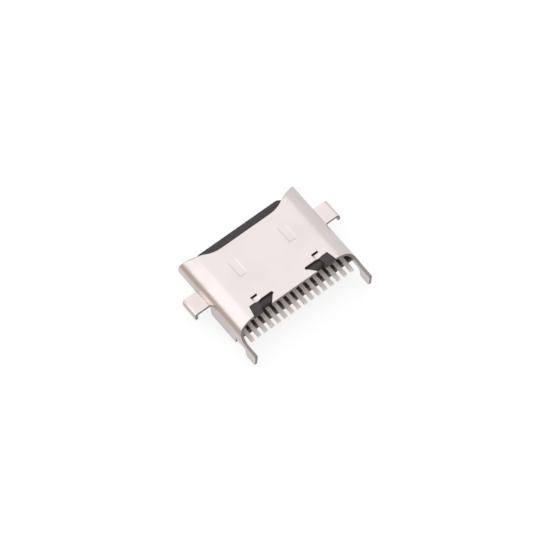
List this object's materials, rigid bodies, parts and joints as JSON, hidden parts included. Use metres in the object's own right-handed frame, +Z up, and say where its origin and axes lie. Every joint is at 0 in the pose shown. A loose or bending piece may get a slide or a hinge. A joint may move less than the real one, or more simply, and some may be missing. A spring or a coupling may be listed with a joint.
{
  "type": "charging port",
  "caption": "Mid-mount oval charging port: folded steel shell with solder tabs and rear legs, black tongue inside, and a row of flat solder tails behind.",
  "frame": {"origin": "middle of the footprint, on the flat bottom of the shell", "axes": "+Z up, -Y out of the mouth towards the plug, +Y along the solder tails, X across the width"},
  "size_m": [0.011, 0.008, 0.003],
  "materials": {
    "shell_steel": "satin nickel plating on stainless sheet",
    "black_polymer": "matte moulded",
    "plate_steel": "bare stainless",
    "plated_contact": "bright plated copper alloy"
  },
  "bodies": {
    "root": {"shell": "shell_steel", "upper_moulding": "black_polymer", "lower_moulding": "black_polymer", "middle_plate": "plate_steel", "contact_a1": "plated_contact", "contact_b12": "plated_contact", "contact_a4": "plated_contact", "contact_b9": "plated_contact", "contact_b8": "plated_contact", "contact_a5": "plated_contact", "contact_b7": "plated_contact", "contact_a6": "plated_contact", "contact_a7": "plated_contact", "contact_b6": "plated_contact", "contact_a8": "plated_contact", "contact_b5": "plated_contact", "contact_b4": "plated_contact", "contact_a9": "plated_contact", "contact_b1": "plated_contact", "contact_a12": "plated_contact"}
  },
  "joints": []
}
